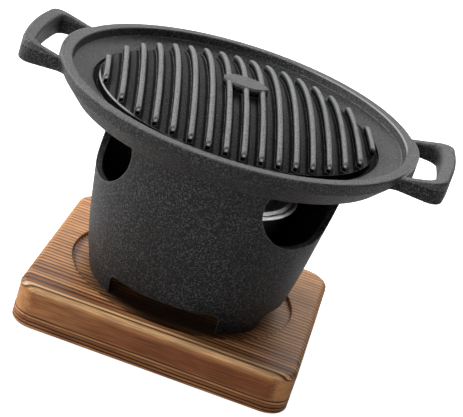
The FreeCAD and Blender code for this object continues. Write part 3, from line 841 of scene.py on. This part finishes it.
class GRILL_OT_gauze(bpy.types.Operator):
    """Weaves the wire gauze under the flame windows"""
    bl_idname = "grill.gauze"
    bl_label = "Wire gauze"

    def wire_material(self):
        material, wiring, shader, place = new_material("gauze_steel", Metallic=1.0)
        clean_wire = (0.42, 0.40, 0.38, 1.0)
        burnt_wire = (0.16, 0.12, 0.10, 1.0)
        heat = wiring.step(wiring.noise(place, 70.0, 3.0), 0.35, 0.7)
        wiring.feed(shader.inputs["Base Color"], wiring.mix(heat, clean_wire, burnt_wire))
        wiring.feed(shader.inputs["Roughness"], wiring.math("MULTIPLY_ADD", heat, 0.25, 0.35))
        return material

    def crossings(self, wiring, pitch, count, half):
        """A square grid of wires, one point at every crossing."""
        start = wiring.times(half, -1.0)

        def line(first, move):
            inputs = {"Count": count, "Start Location": first, "Offset": move}
            return wiring.node("GeometryNodeMeshLine", inputs,
                               mode="OFFSET", count_mode="TOTAL").outputs[0]

        strand = line(wiring.join(start, 0.0, 0.0), wiring.join(pitch, 0.0, 0.0))
        posts = line(wiring.join(0.0, start, 0.0), wiring.join(0.0, pitch, 0.0))
        placed = wiring.node("GeometryNodeInstanceOnPoints", {"Points": posts, "Instance": strand})
        return wiring.node("GeometryNodeRealizeInstances", {0: placed.outputs[0]}).outputs[0]

    def weave_tree(self):
        """Crimped wires along X and along Y as tubes, cut to a ring."""
        wiring, given, result = new_shape_tree("gauze_weave", [
            ("Pitch", "NodeSocketFloat", 0.0017), ("Wire Radius", "NodeSocketFloat", 0.00014),
            ("Outer Radius", "NodeSocketFloat", 0.0378),
            ("Inner Radius", "NodeSocketFloat", 0.0055),
            ("Height", "NodeSocketFloat", 0.0), ("Count", "NodeSocketInt", 44)])
        pitch, count = given.outputs["Pitch"], given.outputs["Count"]
        wire = given.outputs["Wire Radius"]
        half = wiring.times(pitch, wiring.math("SUBTRACT", count, 1.0), 0.5)
        grid = self.crossings(wiring, pitch, count, half)
        x, y = wiring.split(wiring.node("GeometryNodeInputPosition").outputs[0])[:2]
        steps = [wiring.math("DIVIDE", wiring.math("ADD", place, half), pitch)
                 for place in (x, y)]
        column, row = (wiring.math("ROUND", step) for step in steps)
        parity = wiring.math("FLOORED_MODULO", wiring.math("ADD", column, row), 2.0)
        side = wiring.math("MULTIPLY_ADD", parity, 2.0, -1.0)
        radius = wiring.length(x, y)
        outside = wiring.math("GREATER_THAN", radius, given.outputs["Outer Radius"])
        inside = wiring.math("LESS_THAN", radius, given.outputs["Inner Radius"])
        cut = wiring.math("MAXIMUM", outside, inside)
        profile = wiring.node("GeometryNodeCurvePrimitiveCircle",
                              {"Resolution": 4, "Radius": wire}, mode="RADIUS")
        both = wiring.node("GeometryNodeJoinGeometry")
        for sign, over, along in ((1.0, x, y), (-1.0, y, x)):
            lift = wiring.math("ADD", wiring.times(side, wiring.times(wire, sign)),
                               given.outputs["Height"])
            shaped = wiring.node("GeometryNodeSetPosition", {
                "Geometry": grid, "Position": wiring.join(over, along, lift)})
            kept = wiring.node("GeometryNodeDeleteGeometry", {
                "Geometry": shaped.outputs[0], "Selection": cut}, domain="POINT")
            line = wiring.node("GeometryNodeMeshToCurve", {"Mesh": kept.outputs[0]})
            tube = wiring.node("GeometryNodeCurveToMesh", {
                "Curve": line.outputs[0], "Profile Curve": profile.outputs[0], "Fill Caps": True})
            wiring.feed(both.inputs[0], tube.outputs[0])
        return close_tree(wiring, given, result, both.outputs[0])

    def execute(self, context):
        settings = context.scene.grill_burner
        low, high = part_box("flame_gauze")
        gauze = new_piece("gauze", [(0, 0, 0)], [])
        bake_tree(gauze, self.weave_tree(), **{
            "Pitch": settings.wire_pitch, "Wire Radius": settings.wire_radius,
            "Outer Radius": high.x - settings.wire_pitch * 0.3,
            "Inner Radius": GAUZE_HOLE_RADIUS, "Height": (low.z + high.z) / 2,
            "Count": 2 * int(high.x / settings.wire_pitch) + 2,
            "Material": self.wire_material()})
        if len(gauze.data.polygons) < 1000:
            raise RuntimeError("the gauze has no wires")
        smooth(gauze, 80.0)
        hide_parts("flame_gauze")
        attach(gauze, "burner")
        return {"FINISHED"}


class GRILL_OT_wadding(bpy.types.Operator):
    """Makes the fibrous wadding that holds the spirit"""
    bl_idname = "grill.wadding"
    bl_label = "Fuel wadding"

    def fibre_material(self):
        material, wiring, shader, place = new_material(
            "mineral_fibre", Roughness=0.95, Specular_IOR_Level=0.1)
        shade, light = (0.42, 0.40, 0.35, 1.0), (0.66, 0.64, 0.58, 1.0)
        burnt = (0.12, 0.10, 0.085, 1.0)
        strands = wiring.noise(wiring.stretched(place, 300.0, 2400.0, 900.0), 1.0, 3.0, 0.7)
        crossed = wiring.noise(wiring.stretched(place, 2400.0, 300.0, 900.0), 1.0, 3.0, 0.7)
        tangle = wiring.math("MAXIMUM", strands, crossed)
        soot = wiring.step(wiring.noise(place, 60.0, 3.0), 0.4, 0.7, 0.0, 0.7)
        pale = wiring.mix(wiring.step(tangle, 0.4, 0.7), shade, light)
        wiring.feed(shader.inputs["Base Color"], wiring.mix(soot, pale, burnt))
        wiring.feed(shader.inputs["Normal"], bump(wiring, tangle, 0.0006))
        return material

    def fluff_tree(self):
        """Draws the surface in between the tufts."""
        wiring, given, result = new_shape_tree(
            "wadding_fluff", [("Depth", "NodeSocketFloat", 0.0006)])
        position = wiring.node("GeometryNodeInputPosition").outputs[0]
        tufts = wiring.noise(position, 420.0, 3.0, 0.65)
        push = wiring.times(wiring.math("SUBTRACT", tufts, 1.0), given.outputs["Depth"])
        return close_tree(wiring, given, result, push_out(wiring, given.outputs[0], push))

    def execute(self, context):
        low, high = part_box("fuel_wadding")
        shoulder = 0.0013
        drop = 0.0085
        neck = high.x - shoulder
        ledge = high.z - drop
        profile = [(share * neck, high.z) for share in np.linspace(0.04, 0.97, 26)]
        profile += [(neck, high.z - 0.0008), (neck, ledge), (high.x, ledge - 0.0006)]
        profile += [(high.x, height) for height in np.linspace(ledge - 0.002, low.z + 0.001, 22)]
        profile += [(high.x * share, low.z) for share in (0.97, 0.7, 0.4)]
        circle = unit_circle(140)
        rings = [[(radius * c, radius * s, height) for c, s in circle]
                 for radius, height in profile]
        vertices, faces = skin_rings(rings, (0, 0, high.z), (0, 0, low.z))
        material = self.fibre_material()
        wadding = new_piece("wadding", vertices, faces, material)
        bake_tree(wadding, self.fluff_tree(), Depth=0.0012, Material=material)
        smooth(wadding, 180.0)
        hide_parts("fuel_wadding")
        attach(wadding, "burner")
        return {"FINISHED"}


# Panel and registration

class GRILL_PT_panel(bpy.types.Panel):
    """Lists the grill's steps in the sidebar"""
    bl_idname = "GRILL_PT_panel"
    bl_label = "Table-top grill"
    bl_space_type = "VIEW_3D"
    bl_region_type = "UI"
    bl_category = "Grill"

    def draw(self, context):
        layout = self.layout
        for operator in OPERATORS:
            layout.operator(operator.bl_idname)
        for group in SETTINGS:
            settings = getattr(context.scene, group)
            box = layout.box()
            for name in settings.__annotations__:
                box.prop(settings, name)


SETTINGS = {
    "grill_board": BoardSettings,
    "grill_casting": CastingSettings,
    "grill_burner": BurnerSettings,
    "grill_stage": StageSettings,
}
OPERATORS = (GRILL_OT_camera, GRILL_OT_stage, GRILL_OT_board, GRILL_OT_stove,
             GRILL_OT_plate, GRILL_OT_burner, GRILL_OT_gauze, GRILL_OT_wadding)
CLASSES = (*SETTINGS.values(), *OPERATORS, GRILL_PT_panel)


def register():
    for made in CLASSES:
        bpy.utils.register_class(made)
    for name, settings in SETTINGS.items():
        setattr(bpy.types.Scene, name, bpy.props.PointerProperty(type=settings))


def unregister():
    for name in SETTINGS:
        delattr(bpy.types.Scene, name)
    for made in reversed(CLASSES):
        bpy.utils.unregister_class(made)


def main():
    register()
    edge_wear_glint_group()
    cast_grain_group()
    bpy.ops.grill.camera()
    bpy.ops.grill.stage()
    bpy.ops.grill.board()
    bpy.ops.grill.stove()
    bpy.ops.grill.plate()
    bpy.ops.grill.burner()
    bpy.ops.grill.gauze()
    bpy.ops.grill.wadding()


if __name__ == "__main__":
    main()
